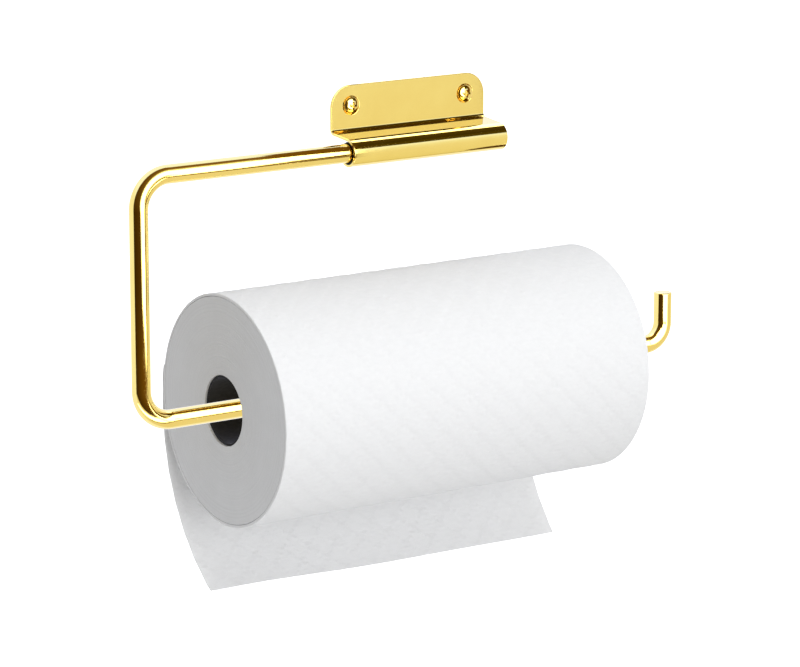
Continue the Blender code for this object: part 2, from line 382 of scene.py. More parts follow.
class Nodes:
    """Short ways to add nodes to a tree."""

    def __init__(self, tree):
        self.tree = tree

    def node(self, kind, inputs=(), **settings):
        made = self.tree.nodes.new(kind)
        for setting, value in settings.items():
            setattr(made, setting, value)
        for socket, value in dict(inputs).items():
            if isinstance(value, bpy.types.NodeSocket):
                self.tree.links.new(value, made.inputs[socket])
            else:
                made.inputs[socket].default_value = value
        return made

    def between(self, value, low, high, start, end):
        made = self.node(
            "ShaderNodeMapRange",
            {"Value": value, "From Min": low, "From Max": high, "To Min": start, "To Max": end},
        )
        return made.outputs["Result"]

    def maths(self, operation, first, second):
        return self.node("ShaderNodeMath", {0: first, 1: second}, operation=operation).outputs[0]

    def mixed(self, share, first, second):
        inputs = {"Factor": share}
        made = self.node("ShaderNodeMix", inputs, data_type="RGBA")
        for socket, value in ((6, first), (7, second)):
            if isinstance(value, bpy.types.NodeSocket):
                self.tree.links.new(value, made.inputs[socket])
            else:
                made.inputs[socket].default_value = (*value, 1)
        return made.outputs[2]


class Finish(Nodes):
    """A material on a Principled BSDF, with short ways to vary it."""

    def __init__(self, name, **values):
        self.material = bpy.data.materials.new(name)
        self.material.use_nodes = True
        super().__init__(self.material.node_tree)
        self.shader = self.tree.nodes["Principled BSDF"]
        for socket, value in values.items():
            self.shader.inputs[socket.replace("_", " ")].default_value = value
        self.place = self.tree.nodes.new("ShaderNodeTexCoord").outputs["Object"]

    def stretched(self, scale):
        """Coordinates scaled apart along X, Y and Z."""
        return self.node("ShaderNodeMapping", {"Vector": self.place, "Scale": scale}).outputs["Vector"]

    def noise(self, size, detail=3, place=None):
        """Noise with features of about this size in metres."""
        inputs = {"Vector": place or self.place, "Scale": 1 / size, "Detail": detail}
        return self.node("ShaderNodeTexNoise", inputs).outputs["Fac"]

    def ramp(self, value, low, high, dark, light):
        """A value from low to high becomes a colour from dark to light."""
        made = self.node("ShaderNodeValToRGB", {"Fac": value})
        first, last = made.color_ramp.elements
        first.position, last.position = low, high
        first.color, last.color = (*dark, 1), (*light, 1)
        return made.outputs["Color"]

    def bump(self, height, distance, below=None):
        inputs = {"Height": height, "Distance": distance, "Strength": 1.0}
        if below:
            inputs["Normal"] = below
        return self.node("ShaderNodeBump", inputs).outputs["Normal"]

    def drive(self, socket, value):
        self.tree.links.new(value, self.shader.inputs[socket])


def polished_gold():
    """Mirror-bright plate over a buffed base: a slight waviness, buffing haze and hairlines."""
    made = Finish("polished_gold", Metallic=1.0)
    waves = made.noise(0.006, detail=1)
    hairlines = made.noise(0.0004, detail=2, place=made.stretched((0.12, 1, 1)))
    haze = made.noise(0.012, detail=4)
    made.drive("Base Color", made.ramp(haze, 0.3, 0.7, (0.845, 0.620, 0.165), (0.865, 0.650, 0.182)))
    hazy = made.between(haze, 0.3, 0.75, 0.045, 0.085)
    scratched = made.between(hairlines, 0.4, 0.8, 0, 0.03)
    made.drive("Roughness", made.maths("ADD", hazy, scratched))
    made.drive("Normal", made.bump(hairlines, 0.0000004, made.bump(waves, 0.000010)))
    return made.material


def black_nylon():
    made = Finish("black_nylon", IOR=1.53, Specular_IOR_Level=0.1)
    grain = made.noise(0.0006, detail=4)
    made.drive("Base Color", made.ramp(grain, 0.3, 0.7, (0.014, 0.014, 0.014), (0.026, 0.026, 0.025)))
    made.drive("Roughness", made.between(grain, 0.3, 0.7, 0.38, 0.52))
    made.drive("Normal", made.bump(grain, 0.00002))
    return made.material


def zinc_steel():
    made = Finish("zinc_steel", Metallic=1.0)
    grain = made.noise(0.0008, detail=4)
    made.drive("Base Color", made.ramp(grain, 0.3, 0.7, (0.50, 0.50, 0.48), (0.60, 0.60, 0.58)))
    made.drive("Roughness", made.between(grain, 0.3, 0.7, 0.28, 0.42))
    made.drive("Normal", made.bump(grain, 0.00001))
    return made.material


def towel_paper():
    """Soft tissue: short fibres and a fine crepe along its width, slightly uneven in tone."""
    made = Finish(
        "towel_paper",
        Roughness=0.95,
        Sheen_Weight=0.15,
        Sheen_Roughness=0.6,
        Specular_IOR_Level=0.15,
    )
    fibres = made.noise(0.0006, detail=5)
    crepe = made.noise(0.0016, detail=3, place=made.stretched((0.45, 1, 1)))
    made.drive("Base Color", made.ramp(crepe, 0.3, 0.7, (0.892, 0.893, 0.896), (0.920, 0.921, 0.924)))
    made.drive("Normal", made.bump(fibres, 0.00010, made.bump(crepe, 0.00022)))
    return made.material


def cut_paper():
    """The roll's cut end: plies seen edge on, as fine rings of slightly different greys."""
    made = Finish("cut_paper", Roughness=0.97, Specular_IOR_Level=0.1)
    parts = made.node("ShaderNodeSeparateXYZ", {"Vector": made.place}).outputs
    squares = [made.maths("MULTIPLY", parts[axis], parts[axis]) for axis in "YZ"]
    radius = made.maths("POWER", made.maths("ADD", *squares), 0.5)
    ring_place = made.node("ShaderNodeCombineXYZ", {"X": radius}).outputs["Vector"]
    plies = made.noise(0.0009, detail=3, place=ring_place)
    fibres = made.noise(0.0005, detail=5)
    clouds = made.noise(0.012, detail=3)
    tone = made.maths("ADD", made.maths("MULTIPLY", plies, 0.5), made.maths("MULTIPLY", fibres, 0.3))
    tone = made.maths("ADD", tone, made.maths("MULTIPLY", clouds, 0.2))
    made.drive("Base Color", made.ramp(tone, 0.3, 0.7, (0.80, 0.805, 0.812), (0.905, 0.91, 0.918)))
    made.drive("Normal", made.bump(fibres, 0.00015, made.bump(plies, 0.00012)))
    return made.material


def core_cardboard():
    """Board with short fibres, its colour darkened to near black as painted shade for the hole through the
    core.
    """
    made = Finish("core_cardboard", Roughness=0.92, Specular_IOR_Level=0.2)
    fibres = made.noise(0.0012, detail=6, place=made.stretched((0.4, 1, 1)))
    # Near-black colour: painted shade in the core's hole, far darker than the cardboard's own brown.
    inside = made.ramp(fibres, 0.3, 0.7, (0.022, 0.021, 0.020), (0.036, 0.034, 0.032))
    made.drive("Base Color", inside)
    made.drive("Normal", made.bump(fibres, 0.00008))
    return made.material


# Bracket


def bracket_path():
    """The middle of the sheet's thickness, in (y, z), from the plate's top to the barrel's lip."""
    half = SHEET / 2
    bend = BEND_RADIUS + half
    rolled = BARREL_RADIUS - half
    down, level = math.sin(SHELF_SLOPE), math.cos(SHELF_SLOPE)
    plate_front = BRACKET_HIGH.y - SHEET - BARREL_AXIS.y
    plate_top = BRACKET_HIGH.z - BARREL_AXIS.z
    shelf = (plate_front + half - bend * (1 - down) + rolled * down) / level
    bend_height = (rolled + bend) * level + shelf * down
    slope = math.degrees(SHELF_SLOPE)
    return Path(
        (BRACKET_HIGH.y - half, BRACKET_HIGH.z),
        -90,
        [
            (plate_top - bend_height,),
            (bend, slope - 90),
            (shelf,),
            (rolled, BARREL_WRAP - slope),
        ],
    )


def sheet_layers():
    """Pairs of offset through the thickness and inset from the outline, from the front face to the back."""
    flat = SHEET / 2 - SHEET_EDGE
    front = [
        (flat + SHEET_EDGE * sine, SHEET_EDGE * (1 - cosine))
        for cosine, sine in arc((0, 0), 1, 90, 0, 4)
    ]
    return front + [(-offset, inset) for offset, inset in reversed(front)]


def bracket_mesh():
    """The whole sheet as rows along its length, each a ring round its thickness, with rounded edges."""
    path = bracket_path()
    half_width = (BRACKET_HIGH.x - BRACKET_LOW.x) / 2
    layers = sheet_layers()

    def ring(distances, half_widths):
        side = []
        for (offset, _), distance, reach in zip(layers, distances, half_widths):
            middle, angle = path.at(distance)
            flat = middle + left_of(angle) * offset
            side.append((reach, *flat))
        return side + [(-x, y, z) for x, y, z in reversed(side)]

    rings = []
    for angle in np.linspace(0, math.pi / 2, 25):
        radii = [CORNER_RADIUS - inset for _, inset in layers]
        distances = [CORNER_RADIUS - radius * math.cos(angle) for radius in radii]
        reaches = [half_width - CORNER_RADIUS + radius * math.sin(angle) for radius in radii]
        rings.append(ring(distances, reaches))
    lip = path.length - LIP_CORNER_RADIUS
    for distance in path.stops(3):
        if CORNER_RADIUS < distance < lip:
            reaches = [half_width - inset for _, inset in layers]
            rings.append(ring([distance] * len(layers), reaches))
    for angle in np.linspace(0, math.pi / 2, 7):
        radii = [LIP_CORNER_RADIUS - inset for _, inset in layers]
        distances = [lip + radius * math.sin(angle) for radius in radii]
        reaches = [half_width - LIP_CORNER_RADIUS + radius * math.cos(angle) for radius in radii]
        rings.append(ring(distances, reaches))

    rings = np.asarray(rings)
    rows, columns = rings.shape[:2]
    faces = list(grid_faces(rows, columns, round_columns=True))
    for first in (0, (rows - 1) * columns):
        for layer in range(len(layers) - 1):
            near, far = first + layer, first + columns - 1 - layer
            faces.append((near, near + 1, far - 1, far))
    return rings.reshape(-1, 3), faces


def applied(made, keep_smooth=30):
    """Keeps the evaluated mesh in place of the modifiers."""
    bpy.context.view_layer.update()
    evaluated = made.evaluated_get(bpy.context.evaluated_depsgraph_get())
    mesh = bpy.data.meshes.new_from_object(evaluated)
    made.modifiers.clear()
    made.data = mesh
    shade(mesh, keep_smooth)
    return made


def cut(target, cutters):
    """Cuts shapes out of an object and removes the cutters."""
    for cutter in cutters:
        boolean = target.modifiers.new("cut", "BOOLEAN")
        boolean.operation = "DIFFERENCE"
        boolean.solver = "EXACT"
        boolean.object = cutter
    applied(target)
    for cutter in cutters:
        bpy.data.objects.remove(cutter)


def even_normals(made):
    """Large faces keep their own normals, so that flat polished faces mirror without a bulge."""
    weighted = made.modifiers.new("even_normals", "WEIGHTED_NORMAL")
    weighted.keep_sharp = True
    weighted.weight = 100


def wall_bracket(gold):
    """The sheet with its two screw holes, each in a shallow recess."""
    points, faces = bracket_mesh()
    made = piece("bracket_sheet", points, faces, gold, "bracket", ["wall_bracket"], "polished_gold")
    profile = [
        (-SHEET, HOLE_RADIUS),
        (SHEET - RECESS_DEPTH, HOLE_RADIUS),
        (SHEET - RECESS_DEPTH, RECESS_SEAT),
        (SHEET - RECESS_EASING / 2, RECESS_RADIUS),
        (SHEET, RECESS_RADIUS + RECESS_EASING),
        (SHEET * 2, RECESS_RADIUS + RECESS_EASING),
    ]
    points, faces = tube(turned_rings(profile, 96))
    cutters = []
    for side in (-1, 1):
        place = hole_place(side)
        cutter = piece("hole", points, faces, gold, None, origin=place)
        cutter.rotation_euler.z = -math.pi / 2
        cutters.append(cutter)
    cut(made, cutters)
    even_normals(made)
    return made


def hole_place(side):
    half_width = (BRACKET_HIGH.x - BRACKET_LOW.x) / 2
    return Vector((side * (half_width - HOLE_INSET), BRACKET_HIGH.y, BARREL_AXIS.z + HOLE_HEIGHT))


# Turned pieces


def screw(name, head, length, thread, pointed, finish, slot, place, turn, body):
    """A domed cross-head screw with a cut thread. Before its turn it lies along X, with its origin under
    the head and the head towards +X."""
    head_radius, head_height = head
    sides = 64
    rim = head_height * SCREW_RIM
    easing = rim * 0.5
    dome = [
        (rim + (head_height - rim) * math.sin(a), head_radius * math.cos(a))
        for a in np.radians(np.linspace(82, 0, 14))
    ]
    collar = arc((easing, head_radius - easing), easing, 90, 180, 4)
    shank = SHANKS[name]
    rings = list(turned_rings([*dome, *collar, (0, shank)], sides))
    rings += thread_rings(shank, length, thread, pointed, sides)
    points, faces = tube(rings)
    made = piece(name + "_fine", points, faces, finish, None, origin=place)
    made.rotation_euler.z = turn
    points, faces = tube(cross_rings(head_radius, head_height))
    cutter = piece("cross", points, faces, finish, None, origin=place)
    cutter.rotation_euler.z = turn
    cut(made, [cutter])
    even_normals(made)
    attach(made, body)
    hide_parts(name)
    return made


def thread_rings(shank, length, thread, pointed, sides):
    """Rings down a shank whose radius dips round a helix. A pointed one narrows towards its end."""
    pitch, depth = thread
    around = np.linspace(0, 2 * math.pi, sides, endpoint=False)
    steps = round(length / pitch * THREAD_STEPS)
    rings = []
    for step in range(steps + 1):
        along = length * step / steps
        taper = min(1, max(SCREW_TIP, (length - along) / SCREW_POINT)) if pointed else 1
        cut_in = min(1, max(0, (along - THREAD_START) / pitch))
        wave = np.abs(((along / pitch - around / (2 * math.pi)) % 1) * 2 - 1)
        groove = cut_in * depth * (1 - wave) ** THREAD_FLANK * THREAD_REACH
        radius = (shank - groove) * taper**TAPER_CURVE
        rings.append(round_ring(-along, radius, around))
    return rings


def cross_rings(head_radius, head_height):
    """A cross that narrows as it goes into the head."""
    scale = head_radius / MOUNTING_HEAD[0]
    span, arm = CROSS_SPAN / 2 * scale, CROSS_ARM / 2 * scale
    outline = []
    for corner in range(4):
        turn = math.radians(90 * corner)
        cosine, sine = math.cos(turn), math.sin(turn)
        for x, y in [(span, -arm), (span, arm), (arm, arm)]:
            outline.append((x * cosine - y * sine, x * sine + y * cosine))
    floor = head_height - CROSS_DEPTH * scale
    levels = ((floor, CROSS_TAPER), (head_height + CROSS_DEPTH, 1.3))
    return [[(level, y * size, z * size) for y, z in outline] for level, size in levels]


def screws(gold, steel):
    """Two gold screws into the wall and a steel one in the arm's end."""
    head_y = BRACKET_HIGH.y - (SHEET - RECESS_DEPTH + GAP)
    into_wall = -math.pi / 2
    for side, name in ((-1, "mounting_screw_left"), (1, "mounting_screw_right")):
        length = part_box(name)[1].y - head_y
        place = hole_place(side)
        place.y = head_y
        shape = (name, MOUNTING_HEAD, length, WOOD_THREAD, True)
        screw(*shape, gold, "polished_gold", place, into_wall, "bracket")
    low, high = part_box("retaining_screw")
    place = Vector((high.x - RETAINING_HEAD[1], BARREL_AXIS.y, BARREL_AXIS.z))
    shape = ("retaining_screw", RETAINING_HEAD, place.x - low.x, MACHINE_THREAD, False)
    screw(*shape, steel, "zinc_steel", place, 0, "arm")


def sleeves(nylon, steel):
    for name, body, finish, slot in (
        ("left_bush", "bracket", nylon, "black_nylon"),
        ("right_bush", "bracket", nylon, "black_nylon"),
        ("retaining_washer", "arm", steel, "zinc_steel"),
    ):
        low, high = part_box(name)
        outer = (high.y - low.y) / 2
        bore = BORES[name]
        easing = min(NYLON_EASING, (outer - bore) / 3)
        profile = eased_sleeve(low.x, high.x, outer, bore, easing)
        points, faces = loop(turned_rings(profile, 96))
        origin = (0, BARREL_AXIS.y, BARREL_AXIS.z)
        piece(name + "_fine", points, faces, finish, body, [name], slot, origin)


def end_plug(nylon):
    """A pressed-in cap with a shallow dished face and a rounded back."""
    low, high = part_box("end_plug")
    radius = (high.y - low.y) / 2
    rim = radius - PLUG_RIM
    dish = [
        (high.x - PLUG_DISH * (1 + 0.5 * math.cos(a)), (rim - 0.0005) * math.sin(a))
        for a in np.radians(np.linspace(90, 3, 10))
    ]
    profile = [
        (low.x, 0.0002),
        (low.x, radius - PLUG_BACK),
        *arc((low.x + PLUG_BACK, radius - PLUG_BACK), PLUG_BACK, 180, 90, 5),
        *arc((high.x - NYLON_EASING, radius - NYLON_EASING), NYLON_EASING, 90, 0, 4),
        (high.x, rim),
        (high.x - PLUG_DISH / 2, rim - 0.0002),
        *dish,
    ]
    points, faces = tube(turned_rings(profile, 96))
    origin = (0, BARREL_AXIS.y, BARREL_AXIS.z)
    return piece("end_plug_fine", points, faces, nylon, "bracket", ["end_plug"], "black_nylon", origin)


# Arm


def swing_arm(gold):
    """The bent rod, from its tapped end in the barrel to its upturned tip."""
    path = arm_path()
    around = np.linspace(0, 2 * math.pi, 96, endpoint=False)

    def ring(distance, radius):
        middle, angle = path.at(distance)
        aside = left_of(angle)
        flat = middle[None, :] + radius * np.cos(around)[:, None] * aside[None, :]
        return np.stack([flat[:, 0], BARREL_AXIS.y + radius * np.sin(around), flat[:, 1]], axis=-1)

    edge = INNER_EASING
    rings = [ring(TAP_DEPTH + TAP_POINT, 0.0003), ring(TAP_DEPTH, TAP_RADIUS)]
    rings += [ring(edge, TAP_RADIUS), ring(0, TAP_RADIUS + edge)]
    rings += [ring(edge - x, ROD_RADIUS - edge + y) for x, y in arc((0, 0), edge, 0, 90, 4)]
    rings += [ring(distance, ROD_RADIUS) for distance in path.stops(2) if edge < distance < path.length]
    tip = path.length - TIP_EASING
    rings += [ring(tip + y, ROD_RADIUS - TIP_EASING + x) for x, y in arc((0, 0), TIP_EASING, 0, 90, 6)]
    points, faces = tube(rings)
    made = piece("arm_rod", points, faces, gold, "arm", ["swing_arm"], "polished_gold")
    even_normals(made)
    return made


# Roll


def emboss(u, v):
    """Height of the paper's face, for distances across and along it. The dots are pressed in and the
    paper between their lines puffs up."""
    depth = np.zeros(np.broadcast(u, v).shape)
    for line_step in (-1, 0, 1, 2):
        line = np.floor(v / EMBOSS_ROW) + line_step
        swing = np.where(line % 2 == 0, EMBOSS_WAVE, -EMBOSS_WAVE)
        for dot_step in (-1, 0, 1):
            dot_u = (np.round(u / EMBOSS_STEP) + dot_step) * EMBOSS_STEP
            dot_v = line * EMBOSS_ROW + swing * np.cos(2 * math.pi * dot_u / EMBOSS_WAVE_LENGTH)
            away = (u - dot_u) ** 2 + (v - dot_v) ** 2
            depth = np.maximum(depth, np.exp(-away / EMBOSS_DOT**2))
    puff = np.cos(2 * math.pi * u / EMBOSS_WAVE_LENGTH) * np.cos(math.pi * v / EMBOSS_ROW)
    return puff * EMBOSS_PUFF - depth * EMBOSS_DEPTH


def matte_piece(*facts):
    """A piece of the roll. Polished metal beside it mirrors the studio and not the roll."""
    made = piece(*facts)
    made.visible_glossy = False
    return made


def outer_plies(paper):
    """The outermost turns of paper, embossed, as a sleeve with soft rims."""
    half = (ROLL_HIGH.x - ROLL_LOW.x) / 2
    inner = ROLL_RADIUS - OUTER_PLIES
    columns = 396
    around = np.linspace(0, 2 * math.pi, columns, endpoint=False)
    easing = RIM_EASING
    outside = [(x, ROLL_RADIUS - easing + y) for x, y in arc((half - easing, 0), easing, 0, 90, 3)]
    outside += [(x, ROLL_RADIUS) for x in np.linspace(half - easing, easing - half, 236)[1:-1]]
    outside += [(x, ROLL_RADIUS - easing + y) for x, y in arc((easing - half, 0), easing, 90, 180, 3)]
    inside = [(-half, inner), (half, inner)]
    profile = np.array(outside + inside)
    rings = turned_rings(profile, columns)
    height = emboss(profile[:, 0][:, None], (around * ROLL_RADIUS)[None, :]) - EMBOSS_PUFF
    height *= np.clip((half - np.abs(profile[:, :1])) / EMBOSS_FADE, 0, 1)
    height[-2:] = 0
    scale = 1 + height / profile[:, 1:]
    rings[..., 1] *= scale
    rings[..., 2] *= scale
    rng = np.random.default_rng(11)
    wander = smooth_ring(rng, around, 5) * PLY_WANDER
    near_rim = np.clip(1 - (half - np.abs(rings[..., 0])) / RIM_REACH, 0, 1)
    rings[..., 0] += np.sign(rings[..., 0]) * wander * near_rim
    points, faces = loop(rings)
    origin = (ROLL_MIDDLE, ROLL_AXIS.y, ROLL_AXIS.z)
    return matte_piece("outer_plies", points, faces, paper, "roll", [], "towel_paper", origin, 50)


def smooth_ring(rng, around, waves):
    """A smooth random curve round a ring, within about one either way."""
    total = np.zeros_like(around)
    for wave in range(1, waves + 1):
        total += rng.normal() / wave * np.cos(wave * around + rng.uniform(0, 2 * math.pi))
    return total / 2


def wound_plies(cut_finish):
    """The plies between the core and the outer turns. Each end shows them as fine uneven rings."""
    half = (ROLL_HIGH.x - ROLL_LOW.x) / 2
    inner = CORE_RADIUS + GAP
    outer = ROLL_RADIUS - OUTER_PLIES - 0.0001
    columns = 180
    around = np.linspace(0, 2 * math.pi, columns, endpoint=False)
    plies = round((outer - inner) / PLY)
    ply = (outer - inner) / plies
    rng = np.random.default_rng(5)
    rings = []
    for side in (1, -1):
        rows = []
        for number in range(plies):
            drift = smooth_ring(rng, around, 4) * PLY_WANDER
            end = half - PLY_WANDER + np.clip(drift, -PLY_WANDER, PLY_WANDER)
            for share, sunk in ((0.05, 0.6), (0.3, 0), (0.75, 0.1)):
                radius = inner + (number + share) * ply
                rows.append(round_ring(side * (end - sunk * PLY_RELIEF), radius, around))
        rings += rows if side == 1 else rows[::-1]
    points, faces = loop(rings)
    origin = (ROLL_MIDDLE, ROLL_AXIS.y, ROLL_AXIS.z)
    stands_for = ["paper_winding"]
    return matte_piece(
        "wound_plies", points, faces, cut_finish, "roll", stands_for, "towel_paper", origin, 60
    )


def cardboard_core(card):
    """A spiral-wound tube. Its strip's seam shows as a shallow groove inside and outside."""
    half = (CORE_HIGH.x - CORE_LOW.x) / 2
    bore = CORE_RADIUS - CORE_WALL
    columns = 96
    around = np.linspace(0, 2 * math.pi, columns, endpoint=False)
    stations = np.linspace(-half, half, 150)
    rng = np.random.default_rng(3)
    fray = {end: smooth_ring(rng, around, 12) * CORE_FRAY for end in (-1, 1)}
    rings = []
    for radius, inward, order in ((CORE_RADIUS, -1, stations), (bore, 1, stations[::-1])):
        for along in order:
            turn = (along / CORE_SEAM_PITCH - around / (2 * math.pi)) % 1
            from_seam = np.minimum(turn, 1 - turn) * CORE_SEAM_PITCH
            groove = np.exp(-((from_seam / CORE_SEAM_WIDTH) ** 2))
            rough = fray[1 if along > 0 else -1] if abs(along) == half else 0
            grooved = radius + inward * CORE_SEAM_DEPTH * groove
            rings.append(round_ring(along + rough, grooved, around))
    points, faces = loop(rings)
    origin = (ROLL_MIDDLE, ROLL_AXIS.y, ROLL_AXIS.z)
    stands_for = ["cardboard_core"]
    return matte_piece(
        "spiral_core", points, faces, card, "roll", stands_for, "core_cardboard", origin, 40
    )


def loose_sheet(paper):
    """Limp paper that clings to the roll's back, drops and curls forward under it. Its right end curls
    less."""
    half = (ROLL_HIGH.x - ROLL_LOW.x) / 2
    radius = ROLL_RADIUS + GAP + PAPER / 2
    start = math.radians(LOOSE_CLING)
    across = np.linspace(-half, half, 241)
    rows = 136
    middle = []
    for u in across:
        share = (u + half) / (2 * half)
        curl = LOOSE_CURL[0] + (LOOSE_CURL[1] - LOOSE_CURL[0]) * share
        curl_radius = LOOSE_CURL_LENGTH / math.radians(curl)
        path = Path(
            (radius * math.cos(start), radius * math.sin(start)),
            LOOSE_CLING - 90,
            [(radius, -LOOSE_CLING), (LOOSE_DROP,), (curl_radius, -curl)],
        )
        column = []
        for distance in np.linspace(0, path.length, rows):
            point, angle = path.at(distance)
            column.append((u, *point, *left_of(angle), distance))
        middle.append(column)
    middle = np.array(middle).transpose(1, 0, 2)
    points, outward, distance = middle[..., :3], middle[..., 3:5], middle[..., 5]
    u = points[..., 0]
    free = np.clip((distance - LOOSE_STILL) / LOOSE_FREE, 0, 1) ** 1.5
    wave = np.sin(u / 0.034 + 0.8) * 0.6 + np.sin(u / 0.019 + distance / 0.05) * 0.4
    offset = emboss(u, distance) + wave * free * LOOSE_WAVE
    faces_out = []
    for side in (1, -1):
        shift = offset + side * PAPER / 2
        moved = points.copy()
        moved[..., 1:] += outward * shift[..., None]
        faces_out.append(moved)
    front, back = faces_out
    rings = np.concatenate([front, back[:, ::-1]], axis=1)
    count, columns = rings.shape[:2]
    faces = list(grid_faces(count, columns, round_columns=True))
    for first in (0, (count - 1) * columns):
        for column in range(columns // 2 - 1):
            near, far = first + column, first + columns - 1 - column
            faces.append((near, near + 1, far - 1, far))
    points = rings.reshape(-1, 3)
    origin = (ROLL_MIDDLE, ROLL_AXIS.y, ROLL_AXIS.z)
    stands_for = ["loose_sheet"]
    made = matte_piece(
        "hanging_sheet", points, faces, paper, "sheet", stands_for, "towel_paper", origin, 60
    )
    return made


# Studio


def glow(one_sided=False):
    """A light that takes its colour from its mesh's points. One-sided, it can't be seen from behind."""
    made = bpy.data.materials.new("glow")
    made.use_nodes = True
    made.node_tree.nodes.clear()
    nodes = Nodes(made.node_tree)
    light = nodes.node("ShaderNodeAttribute", attribute_name="light").outputs["Color"]
    direct = nodes.maths("LESS_THAN", nodes.node("ShaderNodeLightPath").outputs["Diffuse Depth"], 0.5)
    emission = nodes.node("ShaderNodeEmission", {"Color": light, "Strength": direct})
    back = nodes.node("ShaderNodeNewGeometry").outputs["Backfacing"]
    hidden = nodes.maths("MULTIPLY", back, 1.0 if one_sided else 0.0)
    clear = nodes.node("ShaderNodeBsdfTransparent")
    both = nodes.node("ShaderNodeMixShader", {0: hidden, 1: emission.outputs[0], 2: clear.outputs[0]})
    nodes.node("ShaderNodeOutputMaterial", {"Surface": both.outputs[0]})
    return made


def card(name, rows, lights, finish):
    """A grid of points, each with its own light, that only polished metal mirrors."""
    rows = np.asarray(rows)
    mesh = bpy.data.meshes.new(name)
    mesh.from_pydata(rows.reshape(-1, 3).tolist(), [], grid_faces(*rows.shape[:2]).tolist())
    mesh.materials.append(finish)
    light = mesh.color_attributes.new("light", "FLOAT_COLOR", "POINT")
    colours = np.broadcast_to(lights, rows.shape).reshape(-1, 3)
    light.data.foreach_set("color", np.c_[colours, np.ones(len(colours))].ravel())
    made = bpy.data.objects.new(name, mesh)
    bpy.context.scene.collection.objects.link(made)
    made.visible_camera = False
    made.visible_diffuse = False
    made.visible_shadow = False
    made.visible_transmission = False
    return made


def arm_path():
    """The arm's middle line, in (x, z), from its inner end to its tip."""
    inner_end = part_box("retaining_washer")[0].x - GAP
    leg_x = ARM_LOW.x + ROD_RADIUS
    tip_x = ARM_HIGH.x - ROD_RADIUS
    drop = BARREL_AXIS.z - ROLL_AXIS.z
    return Path(
        (inner_end, BARREL_AXIS.z),
        180,
        [
            (inner_end - leg_x - TOP_BEND,),
            (TOP_BEND, 90),
            (drop - TOP_BEND - BOTTOM_BEND,),
            (BOTTOM_BEND, 90),
            (tip_x - leg_x - BOTTOM_BEND - TIP_BEND,),
            (TIP_BEND, 90),
            (TIP_HEIGHT - TIP_BEND,),
        ],
    )


def stripe(name, reach, keys, finish):
    """A curved card that shows from the camera as one stripe along the bent rod. Each key is a distance
    along the arm, the stripe's edges across the rod, from -1 at the bends' inside to 1 at their outside,
    and the lights at them."""
    path = arm_path()
    distances, lows, highs = ([key[item] for key in keys] for item in range(3))
    across = np.linspace(0, 1, 9)
    rows, lights = [], []
    eye = CAMERA_AIM - camera_look() * CAMERA_REACH
    for distance in np.arange(distances[0], distances[-1], STRIPE_STEP):
        (x, z), angle = path.at(distance)
        point = np.array([x, ROLL_AXIS.y, z])
        along = np.array([math.cos(angle), 0, math.sin(angle)])
        view = point - np.array(eye)
        view /= np.linalg.norm(view)
        toward = (view @ along) * along - view
        toward /= np.linalg.norm(toward)
        outer = np.cross(along, toward)
        low, high = np.interp(distance, distances, lows), np.interp(distance, distances, highs)
        row = []
        for share in across:
            side = low + (high - low) * share
            normal = toward * math.sqrt(1 - side**2) + outer * side
            mirrored = view - 2 * (view @ normal) * normal
            row.append(point + ROD_RADIUS * normal + reach * mirrored)
        rows.append(row)
        first, last = (light_at(distance, [(key[0], key[end]) for key in keys]) for end in (3, 4))
        lights.append([first * (1 - share) + last * share for share in across])
    return card(name, rows, np.array(lights), finish)


def light_at(place, keys):
    """The light at a place between keys of (place, light)."""
    places = [key[0] for key in keys]
    return np.array([np.interp(place, places, [key[1][part] for key in keys]) for part in range(3)])


